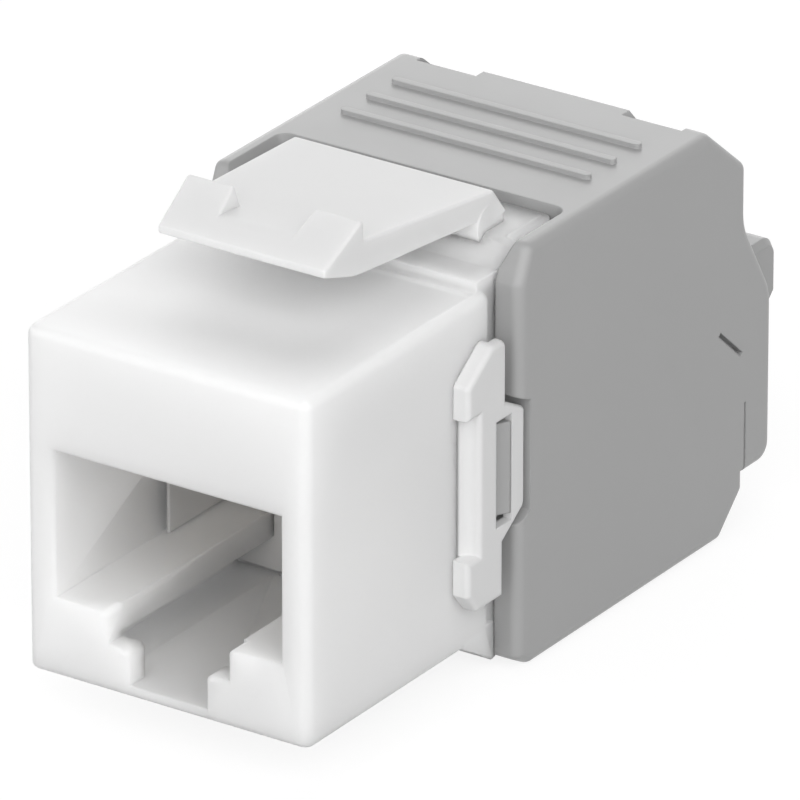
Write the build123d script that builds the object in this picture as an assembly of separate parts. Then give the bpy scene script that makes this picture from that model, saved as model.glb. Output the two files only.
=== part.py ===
from build123d import *
import os
from math import atan2, degrees, hypot

# A tool-less network keystone jack: a white front housing with a tab-down port, a spring latch on
# top, and a grey termination cap that slides on from the rear. Millimetres, +Z up, the port faces -Y.
# Z is given from the underside of the front block. Y is given from the front face for the block, the port
# and the contacts, and from the block's rear face for the latch, hook, sleeve, snap loops, cap and guide.

# Front block
face_height = 16.1
block_depth = 13.95
block_round = 0.5
block_foot_round = 0.28
block_rear_round = 0.6

# Port
port_width = 11.6
port_side_wall = 1.45
port_top = 10.5
port_ledge = 3.65
port_lip = 1.22
mouth_chamfer = 0.2
ledge_round = 0.3
mouth_bevel_low = 0.13
tab_step_width = 6.3
tab_step_level = 2.15
tab_slot_width = 4.0
tab_slot_floor = 0.5
chamber_front = 2.5
chamber_rise = 4.1
chamber_step = 0.2

# Panel hook below the block
hook_front = -2.15
hook_ramp_end = 0.1
hook_drop = 1.3
hook_tip_drop = 1.7
hook_rear = 1.15

# Termination cap
cap_overhang = 0.95
cap_rise = 1.75
cap_drop = 2.0
cap_front = 0.7
cap_side_wall = 1.3
cap_top_wall = 1.2
cap_edge_round = 0.5
cap_front_lean = 0.75
cap_front_lean_height = 1.7
cap_toe_run = 1.0
cap_toe_rise = 0.55
cap_roof_rear = 15.85
cap_fin_rear = 18.6
cap_fin_drop = 2.45
cap_fin_height = 2.9
cap_wing_rear = 20.8
cap_wing_slope = 3.8
cap_wing_low = 0.5
cap_tail_rear = 16.75
cap_rear_wall = 1.15
cap_rear_wall_gap = 0.75
recess_side_margin = 0.8
recess_rear = 5.55
recess_round = 0.6

# Ribs and notches on the cap's roof
rib_end_margin = 1.75
rib_width = 0.4
rib_height = 0.2
rib_first = 8.75
rib_pitch = 1.97
rib_count = 3
roof_tongue_width = 7.6
roof_notch_depth = 0.6
roof_notch_drop = 1.3
roof_notch_slope = 1.5
wing_slit_start = (16.45, -0.68)
wing_slit_end = (18.25, -2.28)
wing_slit_width = 0.22
wing_slit_depth = 0.4
wing_crease_top = 4.0
wing_crease_width = 0.12
wing_crease_depth = 0.15

# Sleeve that carries the cap
fit_gap = 0.1
sleeve_wall = 0.75
sleeve_rear = 7.05

# Shoulders on top of the sleeve
shoulder_rise = 1.3
shoulder_rear = 5.45
shoulder_ramp_front = -1.35
shoulder_ramp_rear = 2.45
shoulder_ramp_sag = 0.3
shoulder_corner_round = 0.6
ridge_inset = 0.4
ridge_width = 0.16
ridge_height = 0.1

# Latch
latch_root_y = 2.95
latch_root_rise = 1.4
latch_root_radius = 1.0
latch_root_gap = 0.05
latch_root_width = 10.3
latch_tip_y = -8.3
latch_tip_width = 8.54
latch_tip_top_rise = 3.2
latch_tip_low_rise = 2.85
latch_front_y = -7.15
latch_front_round = 1.0
latch_belly_y = -6.2
latch_belly_rise = 2.2
latch_neck_rise = 1.77
latch_heel_y = 3.2
latch_heel_rise = 2.94
latch_heel_run = 0.95
latch_heel_fall = 1.3
latch_side_gap = 0.1
horn_base_inner = 1.7
horn_peak_inner = 2.15
horn_peak_y = -5.65
horn_peak_rise = 4.7
horn_rear_lean = 0.1
horn_start = 0.5
horn_peak_round = 0.15
latch_edge_round = 0.13

# Snap loops, outlines in Y and Z
loop_proud = 0.8
loop_front = -3.02
loop_rear = 1.35
loop_low = 2.05
loop_high = 14.1
loop_upper_height = 2.9
loop_upper_rear = -0.1
loop_lower_height = 2.55
loop_lower_rear = -0.3
loop_bevel_run = 1.86
loop_bevel_rise = 1.32
loop_low_bevel_run = 0.75
loop_low_bevel_rise = 0.9
loop_bar_drop = 0.85
loop_bar_lift = 1.15
loop_shoulder_drop = 0.1
loop_post_front = -2.15
loop_window_front = -0.9
loop_window_rear = 0.3
loop_window_lift = 0.85
loop_window_drop = 0.75
loop_band = 0.45
loop_gap = 0.16
loop_slot = 0.3
loop_cove = 0.6
loop_edge_round = 0.25

# Cap teeth that the loops catch
tooth_tongue = 0.25
tooth_side_gap = 0.05
tooth_front = -0.7
tooth_catch_gap = 0.1
tooth_height = 0.5
tooth_end_gap = 0.35

# Contacts and their insert
contact_count = 8
contact_pitch = 1.016
contact_wide = 0.4
contact_thick = 0.3
contact_root_y = 4.0
contact_root_z = 12.3
contact_root_radius = 0.45
contact_tip_run = 1.3
contact_knee_z = 9.4
contact_end_gap = 0.7
contact_tip_z = 9.75
contact_slot_gap = 0.13
insert_side_gap = 0.1
insert_comb_low = 11.0
insert_wall_thick = 1.35
insert_slot_land = 0.4
insert_wall_low = 0.7
cheek_length = 4.7
cheek_wall = 0.15
insert_rear_gap = 0.05

# Circuit board, terminal block and terminals
board_gap = 0.1
board_front_gap = 0.05
board_thick = 1.2
idc_base_thick = 1.6
idc_tower_length = 5.4
idc_tower_width = 2.4
idc_tower_height = 3.8
idc_side_gap = 0.2
idc_columns = 4
idc_row_lift = 3.35
idc_row_drop = 3.2
idc_wire_slot = 1.0
idc_wire_depth = 3.1
idc_blade_thick = 0.4
idc_blade_width = 1.9
idc_blade_length = 4.8
idc_blade_fork = 0.36
idc_blade_fork_depth = 2.6
idc_blade_gap = 0.05

# Wire guide and cable collar
guide_front = 9.35
guide_body_rear = 14.65
guide_fan_wall = 1.6
guide_fan_lift = 2.1
guide_fan_drop = 2.55
guide_fan_depth = 4.2
guide_groove_depth = 0.8
collar_rear = 23.3
collar_lip = 0.35
collar_lip_low = 7.3
collar_low = 0.75
collar_high = 9.95
collar_round = 0.8
collar_edge_bevel = 0.3
cable_bore = 7.8

# Values worked out from the sizes above
face_width = port_width + 2 * port_side_wall
half_face = face_width / 2
half_cap = half_face + cap_overhang
cap_top = face_height + cap_rise
cap_fin_top = cap_top - cap_fin_drop
cap_wing_waist = cap_fin_top - cap_fin_height
cap_wing_top = cap_wing_waist - cap_wing_slope
cap_rear_wall_low = collar_high + cap_rear_wall_gap
shoulder_top = face_height + shoulder_rise
chamber_top = port_top + chamber_rise
chamber_width = port_width - 2 * chamber_step
latch_root_z = face_height + latch_root_rise
latch_tip_top = face_height + latch_tip_top_rise
latch_tip_low = face_height + latch_tip_low_rise
latch_belly_z = face_height + latch_belly_rise
latch_neck_z = face_height + latch_neck_rise
latch_heel_z = face_height + latch_heel_rise
horn_peak_z = face_height + horn_peak_rise
horn_slope = (horn_peak_rise - latch_tip_top_rise) / (horn_peak_y - latch_tip_y)
latch_front_top = latch_tip_top + horn_slope * (latch_front_y - latch_tip_y)
cap_inside_half = half_cap - cap_side_wall
cap_inside_top = cap_top - cap_top_wall
cap_inside_low = cap_top_wall - cap_drop
sleeve_half = cap_inside_half - fit_gap
sleeve_top = cap_inside_top - fit_gap
sleeve_low = cap_inside_low + fit_gap
well_half = sleeve_half - sleeve_wall
well_top = sleeve_top - sleeve_wall
well_low = sleeve_low + sleeve_wall
loop_upper_foot = loop_high - loop_upper_height
loop_lower_head = loop_low + loop_lower_height
loop_bar_high = loop_upper_foot - loop_bar_drop
loop_bar_low = loop_lower_head + loop_bar_lift
loop_shoulder_high = loop_upper_foot - loop_shoulder_drop
loop_shoulder_low = loop_lower_head
loop_window_high = loop_upper_foot - loop_window_drop
loop_window_low = loop_lower_head + loop_window_lift
loop_inner = half_face
loop_outer = half_face + loop_proud
insert_wall_front = block_depth - insert_wall_thick
insert_slot_rear = insert_wall_front - insert_slot_land
contact_tip_y = insert_slot_rear - contact_end_gap
contact_knee_y = contact_tip_y - contact_tip_run
cheek_front = insert_wall_front - cheek_length
board_front = board_front_gap
board_rear = board_front + board_thick
idc_base_rear = board_rear + idc_base_thick
idc_column_pitch = (2 * (well_half - idc_side_gap) - idc_tower_width) / (idc_columns - 1)
idc_row_low = well_low + idc_row_lift
idc_row_high = well_top - idc_row_drop
guide_fan_width = 2 * (sleeve_half - guide_fan_wall)
guide_fan_low = sleeve_low + guide_fan_lift
guide_fan_high = sleeve_top - guide_fan_drop
rib_length = 2 * (half_cap - rib_end_margin)
behind = Pos(0, block_depth, 0)
origin_shift = Pos(0, -(block_depth + collar_rear) / 2, cap_drop)


def span(centre, size):
    """Low and high limits of a size about its centre."""
    return (centre - size / 2, centre + size / 2)


def box_between(x, y, z):
    """A box from its low and high limits on each axis."""
    middle = (sum(x) / 2, sum(y) / 2, sum(z) / 2)
    return Pos(*middle) * Box(x[1] - x[0], y[1] - y[0], z[1] - z[0])


def outline(*corners):
    """A closed flat outline. A corner with a third value is rounded to that radius."""
    face = Sketch() + make_face(Polyline(*[corner[:2] for corner in corners], close=True))
    for corner in corners:
        if len(corner) == 3:
            nearest = face.vertices().sort_by_distance((corner[0], corner[1], 0))[0]
            face = fillet(nearest, corner[2])
    return face


def across(face, x):
    """A solid from a (Y, Z) outline, between two limits of X."""
    return extrude(Plane.YZ.offset(x[0]) * face, amount=x[1] - x[0], dir=(1, 0, 0))


def along(face, y):
    """A solid from an (X, Z) outline, between two limits of Y."""
    return extrude(Plane.XZ.offset(-y[0]) * face, amount=y[1] - y[0], dir=(0, 1, 0))


def upward(face, z):
    """A solid from an (X, Y) outline, between two limits of Z."""
    return extrude(Plane.XY.offset(z[0]) * face, amount=z[1] - z[0], dir=(0, 0, 1))


def both_sides(solid):
    """A solid and its mirror image across the middle plane."""
    return solid + mirror(solid, Plane.YZ)


def port_cavity():
    """Stepped opening for a plug with its tab below, and the contact chamber above it."""
    half_port = port_width / 2
    half_step = tab_step_width / 2
    half_slot = tab_slot_width / 2
    lip = outline(
        (-half_port, port_top), (-half_port, port_ledge), (-half_step, port_ledge, ledge_round),
        (-half_step, tab_step_level), (-half_slot, tab_step_level, ledge_round), (-half_slot, tab_slot_floor),
        (half_slot, tab_slot_floor), (half_slot, tab_step_level, ledge_round), (half_step, tab_step_level),
        (half_step, port_ledge, ledge_round), (half_port, port_ledge), (half_port, port_top),
    )
    cavity = along(lip, (-1, port_lip))
    cavity += box_between(span(0, port_width), (port_lip - 0.5, block_depth + 1), (port_ledge, port_top))
    cavity += box_between(
        span(0, tab_step_width), (port_lip, insert_wall_front), (tab_slot_floor, port_ledge + 0.5)
    )
    cavity += box_between(
        span(0, chamber_width), (chamber_front, block_depth + 1), (port_top - 0.5, chamber_top)
    )
    cavity += box_between(
        span(0, chamber_width), (insert_wall_front, block_depth + 1),
        (insert_wall_low - insert_side_gap, port_top),
    )
    return cavity


def mouth_bevel():
    """Lead-in bevel on the sides and top of the port's mouth."""
    half_port = port_width / 2
    wide = half_port + mouth_chamfer
    front = Plane.XZ * outline(
        (-wide, port_ledge), (wide, port_ledge), (wide, port_top + mouth_chamfer),
        (-wide, port_top + mouth_chamfer),
    )
    back = Plane.XZ.offset(-mouth_chamfer) * outline(
        (-half_port, port_ledge), (half_port, port_ledge), (half_port, port_top), (-half_port, port_top)
    )
    return loft([front, back])


def panel_hook():
    """Ramped hook under the block that catches the panel's lower edge."""
    ramp = outline(
        (hook_front, block_round), (hook_front, 0), (hook_ramp_end, -hook_drop),
        (hook_ramp_end, block_round),
    )
    tip = outline(
        (hook_ramp_end - 0.4, -hook_drop + 0.24), (hook_ramp_end + 0.5, -hook_tip_drop, 0.35),
        (hook_rear, -hook_tip_drop + 0.1, 0.4), (hook_rear, block_round), (hook_ramp_end - 0.4, block_round),
    )
    return across(ramp, span(0, face_width)) + across(tip, span(0, 2 * sleeve_half))


def shoulders():
    """Raised top beneath and beside the latch's root, with a hollow ramp up to it."""
    rest = Polyline(
        (shoulder_ramp_rear, shoulder_top), (shoulder_rear, shoulder_top), (shoulder_rear, well_top),
        (shoulder_ramp_front, well_top), (shoulder_ramp_front, face_height),
    )
    sag = (
        (shoulder_ramp_front + shoulder_ramp_rear) / 2 + shoulder_ramp_sag / 2,
        (face_height + shoulder_top) / 2 - shoulder_ramp_sag,
    )
    hollow = ThreePointArc((shoulder_ramp_front, face_height), sag, (shoulder_ramp_rear, shoulder_top))
    top = across(make_face(rest.edges() + hollow.edges()), span(0, 2 * sleeve_half))
    top = fillet(top.edges().filter_by(Axis.Z).sort_by(Axis.Y)[-2:], shoulder_corner_round)
    ridge_outer = sleeve_half - ridge_inset
    ridge = box_between(
        (ridge_outer - ridge_width, ridge_outer), (shoulder_ramp_rear, shoulder_rear - ridge_inset),
        (shoulder_top - 0.1, shoulder_top + ridge_height),
    )
    return top + both_sides(ridge)


def latch_groove():
    """Round bed that the latch's root turns in."""
    half_pocket = latch_root_width / 2 + latch_side_gap
    groove = Circle(latch_root_radius + latch_root_gap).moved(Location((latch_root_y, latch_root_z)))
    return across(groove, (-half_pocket, half_pocket))


def front_housing():
    """White front block, sleeve, hook and shoulders, moulded as one piece."""
    block = box_between(span(0, face_width), (0, block_depth), (0, face_height))
    rear_edges = block.edges().filter_by(Axis.Z).sort_by(Axis.Y)[-2:]
    block = fillet(rear_edges, block_rear_round)
    front_edges = block.faces().sort_by(Axis.Y)[0].edges()
    upper_edges = front_edges.sort_by(Axis.Z)[1:] + block.edges().filter_by(Axis.Y).sort_by(Axis.Z)[-2:]
    block = fillet(upper_edges, block_round)
    foot = block.faces().sort_by(Axis.Z)[0]
    block = fillet(foot.edges().sort_by(Axis.Y)[:-1], block_foot_round)
    sleeve = box_between(span(0, 2 * sleeve_half), (-block_rear_round, sleeve_rear), (sleeve_low, sleeve_top))
    well = box_between(span(0, 2 * well_half), (0, sleeve_rear + 1), (well_low, well_top))
    body = block + behind * (sleeve + panel_hook()) - behind * well + behind * shoulders()
    body = body - behind * latch_groove() - port_cavity() - mouth_bevel()
    mouth = body.faces().sort_by(Axis.Y)[0].inner_wires()[0].edges()
    return chamfer([edge for edge in mouth if edge.center().Z <= port_ledge], mouth_bevel_low)


def latch_plan(z):
    """Tapered outline of the latch seen from above, between two limits of Z."""
    half_root = latch_root_width / 2
    half_tip = latch_tip_width / 2
    rear = latch_root_y + 3 * latch_root_radius
    half_rear = half_tip + (half_root - half_tip) * (rear - latch_tip_y) / (latch_heel_y - latch_tip_y)
    plan = outline((-half_tip, latch_tip_y), (half_tip, latch_tip_y), (half_rear, rear), (-half_rear, rear))
    return upward(plan, z)


def latch_horn():
    """Right-hand wedge at the latch's free end, with an inner side that slants outward to its peak."""
    half_root = latch_root_width / 2
    start_y = latch_tip_y + horn_start
    start_z = latch_tip_top + horn_slope * horn_start
    wedge = outline(
        (start_y, start_z), (horn_peak_y, horn_peak_z, horn_peak_round),
        (horn_peak_y + horn_rear_lean, latch_neck_z + 1), (start_y, latch_neck_z + 1),
    )
    front = outline(
        (horn_base_inner, latch_neck_z), (half_root, latch_neck_z), (half_root, horn_peak_z + 1),
        (horn_peak_inner, horn_peak_z + 1), (horn_peak_inner, horn_peak_z), (horn_base_inner, latch_tip_top),
    )
    horn = across(wedge, (0, half_root)) & along(front, (latch_tip_y - 1, horn_peak_y + 1))
    horn = horn & latch_plan((latch_neck_z, horn_peak_z + 1))
    across_edges = horn.edges().filter_by(Axis.X)
    corners = [edge for edge in horn.edges() if edge.center().Z > start_z and edge not in across_edges]
    return fillet(corners, latch_edge_round)


def latch_arm():
    """Spring latch: a tapered plate on a round root, with two wedge horns at its free end."""
    side = outline(
        (latch_heel_y, latch_heel_z, 0.25), (latch_front_y, latch_front_top, latch_front_round),
        (latch_tip_y, latch_tip_top), (latch_tip_y, latch_tip_low, 0.15),
        (latch_belly_y, latch_belly_z, 4.0), (latch_root_y - 0.8, latch_neck_z), (latch_root_y, latch_root_z),
        (latch_heel_y + latch_heel_run, latch_heel_z - latch_heel_fall, 0.1),
    )
    half_root = latch_root_width / 2
    plate = across(side, (-half_root - 1, half_root + 1))
    plate = plate & latch_plan((latch_root_z - 2, horn_peak_z + 1))
    flanks = plate.faces().sort_by(Axis.X)
    plate = fillet(flanks[0].edges() + flanks[-1].edges(), latch_edge_round)
    arm = plate + both_sides(latch_horn())
    root = Circle(latch_root_radius).moved(Location((latch_root_y, latch_root_z)))
    return arm + across(root, (-half_root, half_root))


def snap_loop():
    """Right-hand loop: two proud blocks joined by a post and by a thin band round a window."""
    rim = outline(
        (loop_front, loop_low + loop_low_bevel_rise), (loop_front + loop_low_bevel_run, loop_low),
        (loop_lower_rear, loop_low), (loop_lower_rear, loop_shoulder_low), (loop_rear, loop_bar_low, 0.5),
        (loop_rear, loop_bar_high, 0.25), (loop_upper_rear, loop_shoulder_high),
        (loop_upper_rear, loop_high, 0.4),
        (loop_front + loop_bevel_run, loop_high, 0.4), (loop_front, loop_high - loop_bevel_rise, 0.3),
    )
    loop = across(rim, (loop_inner, loop_outer))
    hollow = outline(
        (loop_inner, loop_front - 1), (loop_outer + 1, loop_front - 1), (loop_outer + 1, loop_post_front),
        (loop_inner, loop_post_front, loop_cove),
    )
    loop -= upward(hollow, (loop_lower_head, loop_upper_foot))
    loop -= box_between(
        (loop_inner - 1, loop_outer + 1), (loop_window_front, loop_window_rear),
        (loop_window_low, loop_window_high),
    )
    loop -= box_between(
        (loop_inner - 1, loop_outer - loop_band), (loop_window_front, loop_rear + 1), (loop_low, loop_high)
    )
    return fillet(loop.faces().sort_by(Axis.X)[-1].outer_wire().edges(), loop_edge_round)


def side_panel():
    """Right-hand side of the cap with its lean, toe, fin and wing, notched round the snap loop."""
    edge = outline(
        (cap_front, cap_toe_rise - cap_drop, 0.3), (cap_front + cap_toe_run, -cap_drop, 0.5),
        (cap_tail_rear, -cap_drop, 0.4), (cap_fin_rear, cap_wing_low - 0.7, 0.4),
        (cap_fin_rear, cap_wing_low),
        (cap_wing_rear, cap_wing_low, 0.9), (cap_wing_rear, cap_wing_top, 2.5),
        (cap_fin_rear, cap_wing_waist, 2.5), (cap_fin_rear, cap_fin_top, 0.5),
        (cap_roof_rear - 0.2, cap_top, 0.5),
        (cap_front + cap_front_lean, cap_top, 0.4), (cap_front, cap_top - cap_front_lean_height, 0.4),
    )
    panel = across(edge, (cap_inside_half, half_cap))
    outer_edges = panel.faces().sort_by(Axis.X)[-1].edges()
    panel = fillet(outer_edges, cap_edge_round)
    notch = outline(
        (cap_front - 1, loop_shoulder_low - loop_slot), (loop_rear + loop_gap, loop_bar_low - loop_slot),
        (loop_rear + loop_gap, loop_bar_high + loop_slot), (cap_front - 1, loop_shoulder_high + loop_slot),
    )
    panel -= across(notch, (cap_inside_half - 1, half_cap + 1))
    crease = box_between(
        (half_cap - wing_crease_depth, half_cap + 1), span(cap_fin_rear, wing_crease_width),
        (cap_wing_low - 0.1, wing_crease_top),
    )
    return panel - wing_slit() - crease


def wing_slit():
    """Short slanting slit where the wing starts."""
    run = wing_slit_end[0] - wing_slit_start[0]
    rise = wing_slit_end[1] - wing_slit_start[1]
    middle = ((wing_slit_end[0] + wing_slit_start[0]) / 2, (wing_slit_end[1] + wing_slit_start[1]) / 2)
    mark = Rectangle(hypot(run, rise), wing_slit_width)
    mark = mark.moved(Location((middle[0], cap_wing_top + middle[1], 0), (0, 0, degrees(atan2(rise, run)))))
    return across(mark, (half_cap - wing_slit_depth, half_cap + 1))


def cap_tooth():
    """Right-hand tongue with the ramped tooth that sits in the snap loop's window."""
    inner = half_face + tooth_side_gap
    tongue_outer = inner + tooth_tongue
    catch = loop_window_rear - tooth_catch_gap
    height = (loop_window_low + tooth_end_gap, loop_window_high - tooth_end_gap)
    plan = outline(
        (inner, tooth_front), (tongue_outer, tooth_front), (tongue_outer + tooth_height, catch),
        (tongue_outer, catch), (tongue_outer, loop_rear + 1), (inner, loop_rear + 1),
    )
    return upward(plan, height)


def roof_notches():
    """Cuts at the rear edge of the roof, with slanting inner ends, either side of a middle tongue."""
    half_tongue = roof_tongue_width / 2
    low = cap_top - roof_notch_drop
    cut = outline(
        (half_tongue, cap_top), (half_tongue + roof_notch_slope, low), (cap_inside_half, low),
        (cap_inside_half, cap_top + 1), (half_tongue, cap_top + 1),
    )
    return both_sides(along(cut, (cap_roof_rear - roof_notch_depth, cap_roof_rear + 1)))


def roof_recess():
    """Cut in the front of the roof for the latch, with walls that lean in to the cap's inside."""
    levels = []
    for level, half in ((cap_inside_top, cap_inside_half), (cap_top, half_cap - recess_side_margin)):
        edge = outline(
            (-half, cap_front - 1), (half, cap_front - 1), (half, recess_rear, recess_round),
            (-half, recess_rear, recess_round),
        )
        levels.append(Plane.XY.offset(level) * edge)
    return loft(levels)


def roof_rib(place):
    """Low grip rib across the roof, rounded at its ends."""
    rib = box_between(span(0, rib_length), span(place, rib_width), (cap_top - 0.1, cap_top + rib_height))
    return fillet(rib.edges().filter_by(Axis.Z), rib_width * 0.48)


def termination_cap():
    """Grey cap: roof, floor, rear wall, side panels and teeth, moulded as one piece."""
    width = span(0, 2 * cap_inside_half)
    roof = box_between(width, (cap_front + cap_front_lean, cap_roof_rear), (cap_inside_top, cap_top))
    floor = box_between(width, (cap_front + cap_toe_run, cap_tail_rear - 0.4), (-cap_drop, cap_inside_low))
    wall = box_between(width, (cap_roof_rear - cap_rear_wall, cap_roof_rear), (cap_rear_wall_low, cap_top))
    shell = roof + floor + wall + both_sides(side_panel() + cap_tooth())
    shell -= roof_recess()
    shell -= roof_notches()
    for number in range(rib_count):
        shell += roof_rib(rib_first + number * rib_pitch)
    return shell


def column_places(count, pitch):
    """Evenly spaced places about the middle plane."""
    return [(number - (count - 1) / 2) * pitch for number in range(count)]


def contact_insert():
    """Comb for the spring contacts, with a rear wall and a cheek on each side of the plug space."""
    half_comb = chamber_width / 2 - insert_side_gap
    rear = block_depth - insert_rear_gap
    comb = box_between(
        (-half_comb, half_comb), (chamber_front + insert_side_gap, rear),
        (insert_comb_low, chamber_top - insert_side_gap),
    )
    comb += box_between(
        (-half_comb, half_comb), (insert_wall_front, rear), (insert_wall_low, insert_comb_low + 0.5)
    )
    cheek = box_between(
        (half_comb - cheek_wall, half_comb), (cheek_front, insert_wall_front + 0.5),
        (port_ledge + insert_side_gap, insert_comb_low + 0.5),
    )
    comb += both_sides(cheek)
    slot_front = contact_root_y - contact_root_radius - contact_slot_gap
    slot_top = contact_root_z + contact_root_radius + contact_slot_gap
    for place in column_places(contact_count, contact_pitch):
        comb -= box_between(
            span(place, contact_wide + 2 * contact_slot_gap), (slot_front, insert_slot_rear),
            (insert_comb_low - 1, slot_top),
        )
    return comb


def strip(start, end, thickness):
    """A thin straight strip in the (Y, Z) plane."""
    run = end[0] - start[0]
    rise = end[1] - start[1]
    middle = ((start[0] + end[0]) / 2, (start[1] + end[1]) / 2, 0)
    return Rectangle(hypot(run, rise), thickness).moved(Location(middle, (0, 0, degrees(atan2(rise, run)))))


def contact(place):
    """Spring contact: a round root at the front, a leg that slopes down to the rear, a raised tip."""
    root = (contact_root_y, contact_root_z)
    knee = (contact_knee_y, contact_knee_z)
    tip = (contact_tip_y, contact_tip_z)
    shape = strip(root, knee, contact_thick) + strip(knee, tip, contact_thick)
    shape += Circle(contact_root_radius).moved(Location((*root, 0)))
    shape += Circle(contact_thick / 2).moved(Location((*knee, 0)))
    return across(shape, span(place, contact_wide))


def circuit_board():
    """Upright board between the contact insert and the terminal block."""
    wide = span(0, 2 * (well_half - board_gap))
    return box_between(wide, (board_front, board_rear), (well_low + board_gap, well_top - board_gap))


def idc_places():
    """Centres of the terminal towers, lower row first."""
    columns = column_places(idc_columns, idc_column_pitch)
    return [(x, z) for z in (idc_row_low, idc_row_high) for x in columns]


def idc_block():
    """Base plate with a slotted tower for each terminal."""
    wide = span(0, 2 * (well_half - board_gap))
    body = box_between(wide, (board_rear, idc_base_rear), (well_low + board_gap, well_top - board_gap))
    tower_rear = idc_base_rear + idc_tower_length
    for x, z in idc_places():
        tower = box_between(
            span(x, idc_tower_width), (idc_base_rear - 0.2, tower_rear), span(z, idc_tower_height)
        )
        tower -= box_between(
            span(x, idc_wire_slot), (tower_rear - idc_wire_depth, tower_rear + 1),
            span(z, idc_tower_height + 1),
        )
        body += tower
        body -= box_between(
            span(x, idc_blade_width + 2 * idc_blade_gap), (idc_base_rear, tower_rear + 1),
            span(z, idc_blade_thick + 2 * idc_blade_gap),
        )
    return body


def idc_terminal(x, z):
    """Forked blade that cuts into a wire, seated in its tower."""
    tip = idc_base_rear + idc_blade_length
    half = idc_blade_width / 2
    fork = idc_blade_fork / 2
    plan = outline(
        (x - half, idc_base_rear), (x + half, idc_base_rear), (x + half, tip - 0.5), (x + half - 0.3, tip),
        (x + fork + 0.3, tip), (x + fork, tip - 0.5), (x + fork, tip - idc_blade_fork_depth),
        (x - fork, tip - idc_blade_fork_depth), (x - fork, tip - 0.5), (x - fork - 0.3, tip),
        (x - half + 0.3, tip), (x - half, tip - 0.5),
    )
    return upward(plan, span(z, idc_blade_thick))


def wire_guide():
    """Guide that spreads the wires to the towers, with the cable collar at its rear."""
    body = box_between(span(0, 2 * sleeve_half), (guide_front, guide_body_rear), (sleeve_low, sleeve_top))
    edge = outline(
        (guide_body_rear - 0.3, collar_low), (collar_rear - collar_lip, collar_low, collar_round),
        (collar_rear - collar_lip, collar_lip_low - collar_lip), (collar_rear, collar_lip_low),
        (collar_rear, collar_high, collar_round), (guide_body_rear - 0.3, collar_high),
    )
    collar = across(edge, span(0, 2 * sleeve_half))
    rims = collar.faces().filter_by(Axis.X).edges() - collar.faces().sort_by(Axis.Y)[0].edges()
    collar = chamfer(rims, collar_edge_bevel)
    body += collar
    body -= box_between(
        span(0, guide_fan_width), (guide_front - 1, guide_front + guide_fan_depth),
        (guide_fan_low, guide_fan_high),
    )
    centre = (collar_low + collar_high) / 2
    bore = Circle(cable_bore / 2).moved(Location((0, centre)))
    body -= along(bore, (guide_front + guide_fan_depth - 0.3, collar_rear + 1))
    for place in column_places(idc_columns, idc_column_pitch):
        body -= box_between(
            span(place, idc_wire_slot), (guide_front - 1, guide_front + guide_groove_depth),
            (sleeve_low - 1, sleeve_top + 1),
        )
    return body


def make_nodes():
    """Every piece by name."""
    nodes = {
        "front_housing": front_housing(),
        "latch_arm": behind * latch_arm(),
        "snap_loop_right": behind * snap_loop(),
        "snap_loop_left": behind * mirror(snap_loop(), Plane.YZ),
        "termination_cap": behind * termination_cap(),
        "contact_insert": contact_insert(),
        "circuit_board": behind * circuit_board(),
        "idc_block": behind * idc_block(),
        "wire_guide": behind * wire_guide(),
    }
    for number, place in enumerate(column_places(contact_count, contact_pitch), 1):
        nodes[f"contact_{number}"] = contact(place)
    for number, (x, z) in enumerate(idc_places(), 1):
        nodes[f"idc_terminal_{number}"] = behind * idc_terminal(x, z)
    return nodes


os.makedirs("parts", exist_ok=True)
for name, solid in make_nodes().items():
    export_step(origin_shift * solid, f"parts/{name}.step")
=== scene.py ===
import math

import bmesh
import bpy
from mathutils import Matrix, Vector


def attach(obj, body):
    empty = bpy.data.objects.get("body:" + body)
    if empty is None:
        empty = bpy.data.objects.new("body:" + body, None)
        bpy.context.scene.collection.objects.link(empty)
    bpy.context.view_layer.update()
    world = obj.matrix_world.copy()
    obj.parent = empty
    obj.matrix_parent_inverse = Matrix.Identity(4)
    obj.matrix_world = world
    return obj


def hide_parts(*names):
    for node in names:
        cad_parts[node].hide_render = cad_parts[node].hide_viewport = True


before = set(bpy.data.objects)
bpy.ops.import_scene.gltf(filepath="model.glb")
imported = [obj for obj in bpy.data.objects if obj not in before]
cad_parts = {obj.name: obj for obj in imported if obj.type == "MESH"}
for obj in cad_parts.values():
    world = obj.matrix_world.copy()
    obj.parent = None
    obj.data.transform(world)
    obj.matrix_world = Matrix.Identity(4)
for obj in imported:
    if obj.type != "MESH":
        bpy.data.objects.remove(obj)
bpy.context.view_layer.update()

MM = 0.001

# Where the front face's lower middle lies in the frame, in millimetres
FRONT_Y = -18.625
BLOCK_FOOT = 2.0

# Camera: angles in degrees, lens and sensor in millimetres, and lengths in millimetres from
# the front face's lower middle
CAMERA_TURN = 33.995
CAMERA_RISE = 24.791
CAMERA_LENS = 585.0
CAMERA_SENSOR = 36.0
CAMERA_AIM = (-0.146, 13.664, 7.808)
CAMERA_REACH = 558.06
CAMERA_ASIDE = 2.349
CAMERA_ABOVE = 1.232
CAMERA_NEAR = 0.01
CAMERA_FAR = 20.0

# Hollows under the port's ledges, in millimetres from the front face's lower middle
HOLLOW_ACROSS = (2.9, 5.2)
HOLLOW_ALONG = (1.22, 12.8)
HOLLOW_UP = (0.5, 2.35)
WELD_GAP = 0.001 * MM
CREASE_ANGLE = math.radians(30)

# Moulded plastic: noise scales, and how far the flow shades the colour
FLOW_SCALE = 90.0
GRAIN_SCALE = 5200.0
GLOSS_SCALE = 420.0
FLOW_DARK = 0.975
FLOW_LIGHT = 1.02
GRAIN_STRENGTH = 0.12
MOULDED_EDGE = 0.12 * MM
PLASTIC_IOR = 1.5

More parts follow.
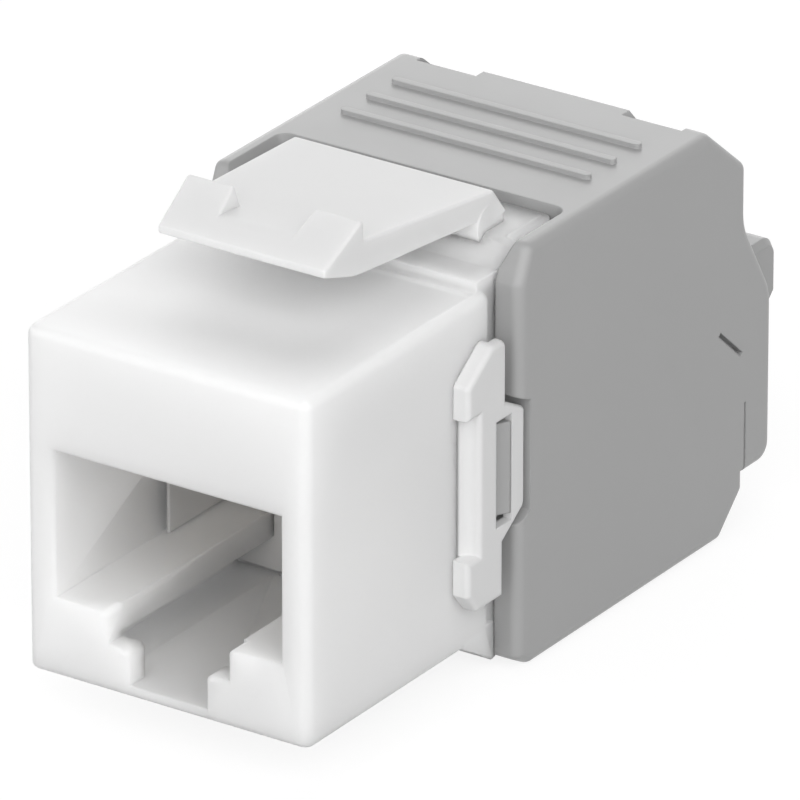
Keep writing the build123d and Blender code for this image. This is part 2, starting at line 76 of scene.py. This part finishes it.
# Plated metal
DRAWN_SCALE = 2600.0
DRAWN_SHADE = 0.86
DRAWN_ROUGHNESS = 0.1

# Circuit board
WEAVE_SCALE = 1800.0
WEAVE_STRENGTH = 0.15
WEAVE_DEPTH = 0.02 * MM
BOARD_EDGE = 0.05 * MM
BOARD_ROUGHNESS = 0.35
MASK_DARK = (0.012, 0.09, 0.035, 1.0)
MASK_LIGHT = (0.02, 0.13, 0.05, 1.0)

# Floor: its side and drop, the tone that takes shadow, its own glow, and the tone that lights the part
FLOOR_SIDE = 6.0
FLOOR_DROP = 0.05 * MM
FLOOR_TONE = 0.22
FLOOR_GLOW = 0.84
FLOOR_BOUNCE = 0.5

# Studio light. Each lamp has its turn from the front and its rise in degrees, its reach and
# size in metres, and its power in watts.
WORLD_FILL = 0.14
LAMP_AIM = Vector((0, 0, 10 * MM))
LAMPS = [
    ("left_lamp", -52.0, 6.0, 0.5, 0.5, 1.16),
    ("low_lamp", 0.0, 8.0, 0.5, 0.4, 0.5),
    ("front_lamp", 34.0, 38.0, 0.5, 0.6, 1.38),
    ("right_lamp", 62.0, 22.0, 0.5, 0.6, 1.55),
    ("rear_lamp", 214.0, 26.0, 0.5, 0.65, 1.85),
]


class Field:
    """A value, colour or vector of a finish. Arithmetic on it adds the nodes that work it out."""

    def __init__(self, finish, socket):
        self.finish = finish
        self.socket = socket

    def math(self, operation, first, second):
        return self.finish.node("ShaderNodeMath", {"operation": operation}, {0: first, 1: second})

    def __add__(self, other):
        return self.math("ADD", self, other)

    def __radd__(self, other):
        return self.math("ADD", other, self)

    def __sub__(self, other):
        return self.math("SUBTRACT", self, other)

    def __rsub__(self, other):
        return self.math("SUBTRACT", other, self)

    def __mul__(self, other):
        return self.math("MULTIPLY", self, other)

    def __rmul__(self, other):
        return self.math("MULTIPLY", other, self)


class Finish:
    """The nodes of one material, or of the surround."""

    def __init__(self, owner):
        owner.use_nodes = True
        self.owner = owner
        self.tree = owner.node_tree
        self.tree.nodes.clear()

    def node(self, kind, settings=None, sockets=None, out=0):
        made = self.tree.nodes.new(kind)
        for key, value in (settings or {}).items():
            setattr(made, key, value)
        for key, value in (sockets or {}).items():
            if isinstance(value, Field):
                self.tree.links.new(value.socket, made.inputs[key])
            else:
                made.inputs[key].default_value = value
        return Field(self, made.outputs[out]) if made.outputs else None

    def place(self):
        return self.node("ShaderNodeTexCoord", out="Object")

    def noise(self, scale, detail):
        sockets = {"Vector": self.place(), "Scale": scale, "Detail": detail, "Roughness": 0.5}
        return self.node("ShaderNodeTexNoise", {}, sockets)

    def mix(self, factor, first, second):
        sockets = {0: factor, 6: first, 7: second}
        return self.node("ShaderNodeMix", {"data_type": "RGBA"}, sockets, out=2)

    def soft_edge(self, radius):
        return self.node("ShaderNodeBevel", {"samples": 6}, {"Radius": radius})

    def bump(self, height, strength, distance, normal):
        sockets = {"Strength": strength, "Distance": distance, "Height": height, "Normal": normal}
        return self.node("ShaderNodeBump", {}, sockets)

    def seen_plainly(self):
        """1 where the camera, a reflection or clear plastic looks straight at it, 0 for its light."""
        camera, glossy, clear = (
            self.node("ShaderNodeLightPath", out=f"Is {kind} Ray")
            for kind in ("Camera", "Glossy", "Transmission")
        )
        return camera + glossy + clear

    def surface(self, **sockets):
        named = {key.replace("_", " "): value for key, value in sockets.items()}
        shader = self.node("ShaderNodeBsdfPrincipled", {}, named)
        self.node("ShaderNodeOutputMaterial", {}, {"Surface": shader})
        return self.owner


def grey(level, warm=0.0):
    """A neutral colour, warmer where warm is above 0."""
    return (level * (1 + warm), level, level * (1 - warm), 1.0)


def moulded_plastic(name, level, sheen, grain, depth, reach, warm=0.0):
    """Injection-moulded plastic with a fine grain, faint flow shading and slightly uneven gloss."""
    finish = Finish(bpy.data.materials.new(name))
    flow = finish.noise(FLOW_SCALE, 3.0)
    speck = finish.noise(GRAIN_SCALE, 2.0)
    tint = finish.mix(flow, grey(level * FLOW_DARK, warm), grey(level * FLOW_LIGHT, warm))
    low, high = sheen
    rough = low + (high - low) * finish.noise(GLOSS_SCALE, 4.0)
    normal = finish.bump(speck, GRAIN_STRENGTH, grain, finish.soft_edge(MOULDED_EDGE))
    return finish.surface(
        Base_Color=tint, Roughness=rough, Normal=normal, IOR=PLASTIC_IOR, Subsurface_Weight=depth,
        Subsurface_Radius=(1.0, 1.0, 1.0), Subsurface_Scale=reach,
    )


def plated_metal(name, colour, rough):
    """Plated spring metal with fine drawing lines."""
    finish = Finish(bpy.data.materials.new(name))
    lines = finish.noise(DRAWN_SCALE, 3.0)
    shaded = tuple(c * DRAWN_SHADE for c in colour[:3]) + (1.0,)
    tint = finish.mix(lines, colour, shaded)
    return finish.surface(Base_Color=tint, Metallic=1.0, Roughness=rough + DRAWN_ROUGHNESS * lines)


def board_mask(name):
    """Green solder mask with a fine weave beneath it."""
    finish = Finish(bpy.data.materials.new(name))
    weave = finish.noise(WEAVE_SCALE, 2.0)
    tint = finish.mix(weave, MASK_DARK, MASK_LIGHT)
    normal = finish.bump(weave, WEAVE_STRENGTH, WEAVE_DEPTH, finish.soft_edge(BOARD_EDGE))
    return finish.surface(Base_Color=tint, Roughness=BOARD_ROUGHNESS, Normal=normal)


def floor_white(name):
    """White floor that fades to the white background and keeps a soft shadow."""
    finish = Finish(bpy.data.materials.new(name))
    lit = finish.node("ShaderNodeBsdfDiffuse", {}, {"Color": grey(FLOOR_TONE)})
    plain = finish.node("ShaderNodeBsdfDiffuse", {}, {"Color": grey(FLOOR_BOUNCE)})
    glow = finish.node("ShaderNodeEmission", {}, {"Color": grey(1.0), "Strength": FLOOR_GLOW})
    shown = finish.node("ShaderNodeAddShader", {}, {0: lit, 1: glow})
    shader = finish.node("ShaderNodeMixShader", {}, {0: finish.seen_plainly(), 1: plain, 2: shown})
    finish.node("ShaderNodeOutputMaterial", {}, {"Surface": shader})
    return finish.owner


def surround():
    """White all round to the eye, and a weaker even light on the object."""
    finish = Finish(bpy.data.worlds.new("white_surround"))
    fill = finish.node("ShaderNodeBackground", {}, {"Color": grey(1.0), "Strength": WORLD_FILL})
    back = finish.node("ShaderNodeBackground", {}, {"Color": grey(1.0), "Strength": 1.0})
    shader = finish.node("ShaderNodeMixShader", {}, {0: finish.seen_plainly(), 1: fill, 2: back})
    finish.node("ShaderNodeOutputWorld", {}, {"Surface": shader})
    bpy.context.scene.world = finish.owner


def floor():
    """A wide floor just under the object."""
    bpy.ops.mesh.primitive_plane_add(size=FLOOR_SIDE, location=(0, 0, -FLOOR_DROP))
    plane = bpy.context.object
    plane.name = "studio_floor"
    plane.data.materials.append(floor_white("floor_white"))


def outward(turn, rise):
    """The direction from the object that is turned from its front and raised by these degrees."""
    a, e = math.radians(turn), math.radians(rise)
    return Vector((math.sin(a) * math.cos(e), -math.cos(a) * math.cos(e), math.sin(e)))


def lamp(name, turn, rise, reach, size, power):
    """A square soft lamp that faces the object."""
    data = bpy.data.lights.new(name, "AREA")
    data.size = size
    data.energy = power
    obj = bpy.data.objects.new(name, data)
    bpy.context.scene.collection.objects.link(obj)
    away = outward(turn, rise)
    obj.location = LAMP_AIM + reach * away
    obj.rotation_euler = (-away).to_track_quat("-Z", "Y").to_euler()


def camera():
    """Camera at the photograph's angle, aimed so that no shift is needed."""
    back = outward(CAMERA_TURN, CAMERA_RISE)
    a = math.radians(CAMERA_TURN)
    right = Vector((math.cos(a), math.sin(a), 0))
    up = back.cross(right)
    spot = Vector(CAMERA_AIM) + right * CAMERA_ASIDE + up * CAMERA_ABOVE + back * CAMERA_REACH
    data = bpy.data.cameras.new("camera")
    data.sensor_width = CAMERA_SENSOR
    data.lens = CAMERA_LENS
    data.clip_start = CAMERA_NEAR
    data.clip_end = CAMERA_FAR
    obj = bpy.data.objects.new("camera", data)
    turn = Matrix((right, up, back)).transposed().to_4x4()
    place = (spot + Vector((0, FRONT_Y, BLOCK_FOOT))) * MM
    obj.matrix_world = Matrix.Translation(place) @ turn
    bpy.context.scene.collection.objects.link(obj)
    bpy.context.scene.camera = obj


def dress(names, material):
    """Gives a finish to the CAD nodes with these names, or with a number after one of them."""
    for name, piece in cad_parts.items():
        if name.rstrip("0123456789").rstrip("_") in names:
            piece.data.materials.clear()
            piece.data.materials.append(material)


def box_piece(name, x, y, z):
    """A closed box between limits in millimetres from the front face's lower middle."""
    shape = bmesh.new()
    bmesh.ops.create_cube(shape, size=1.0)
    low = Vector((x[0], y[0] + FRONT_Y, z[0] + BLOCK_FOOT)) * MM
    high = Vector((x[1], y[1] + FRONT_Y, z[1] + BLOCK_FOOT)) * MM
    for corner in shape.verts:
        corner.co = [a + (b - a) * (c + 0.5) for a, b, c in zip(low, high, corner.co)]
    mesh = bpy.data.meshes.new(name)
    shape.to_mesh(mesh)
    shape.free()
    return bpy.data.objects.new(name, mesh)


def welded(mesh):
    """A copy of a mesh with its corners joined, so that it is one closed skin."""
    shape = bmesh.new()
    shape.from_mesh(mesh)
    bmesh.ops.remove_doubles(shape, verts=shape.verts, dist=WELD_GAP)
    copy = bpy.data.meshes.new(mesh.name + "_skin")
    shape.to_mesh(copy)
    shape.free()
    return copy


def hollowed_housing(material):
    """The front housing with the hollow under each of the port's ledges."""
    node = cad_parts["front_housing"]
    shell = bpy.data.objects.new("housing_moulding", welded(node.data))
    scene = bpy.context.scene.collection
    scene.objects.link(shell)
    cutters = []
    for name, side in (("left", -1), ("right", 1)):
        across = sorted(side * x for x in HOLLOW_ACROSS)
        cutter = box_piece(f"{name}_hollow", across, HOLLOW_ALONG, HOLLOW_UP)
        scene.objects.link(cutter)
        cut = shell.modifiers.new(name, "BOOLEAN")
        cut.operation = "DIFFERENCE"
        cut.solver = "EXACT"
        cut.object = cutter
        cutters.append(cutter)
    bpy.context.view_layer.update()
    seen = shell.evaluated_get(bpy.context.evaluated_depsgraph_get())
    mesh = bpy.data.meshes.new_from_object(seen)
    shell.modifiers.clear()
    shell.data = mesh
    mesh.name = "housing_moulding"
    for cutter in cutters:
        bpy.data.objects.remove(cutter)
    mesh.shade_smooth()
    mesh.set_sharp_from_angle(angle=CREASE_ANGLE)
    mesh.materials.clear()
    mesh.materials.append(material)
    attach(shell, "housing")
    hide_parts("front_housing")


white = moulded_plastic(
    "white_moulding", level=0.9, sheen=(0.48, 0.6), grain=0.01 * MM, depth=1.0, reach=2.5 * MM)
# The latch is the same white plastic as the housing; its lower level is painted shade that makes the
# latch read darker
latch_painted_shade_white = moulded_plastic(
    "latch_painted_shade_moulding", level=0.76, sheen=(0.46, 0.58), grain=0.01 * MM, depth=0.8, reach=0.8 * MM)
# The snap loops are the same white plastic as the housing; their lower level is painted shade that makes
# the loops read darker
loop_painted_shade_white = moulded_plastic(
    "loop_painted_shade_moulding", level=0.75, sheen=(0.48, 0.6), grain=0.01 * MM, depth=0.0, reach=0.3 * MM)
cap_grey = moulded_plastic(
    "grey_moulding", level=0.375, sheen=(0.3, 0.4), grain=0.015 * MM, depth=0.0, reach=0.5 * MM)
inner = moulded_plastic(
    "inner_moulding", level=0.72, sheen=(0.4, 0.5), grain=0.01 * MM, depth=0.5, reach=1.0 * MM, warm=0.01)
gold = plated_metal("contact_gold", (0.83, 0.6, 0.25, 1.0), 0.22)
tin = plated_metal("terminal_tin", (0.74, 0.73, 0.7, 1.0), 0.28)

dress(("front_housing",), white)
dress(("latch_arm",), latch_painted_shade_white)
dress(("snap_loop_right", "snap_loop_left"), loop_painted_shade_white)
hollowed_housing(white)
dress(("termination_cap", "wire_guide"), cap_grey)
dress(("contact_insert", "idc_block"), inner)
dress(("circuit_board",), board_mask("board_mask"))
dress(("contact",), gold)
dress(("idc_terminal",), tin)

surround()
floor()
for settings in LAMPS:
    lamp(*settings)
camera()
bpy.context.scene.view_settings.view_transform = "Standard"
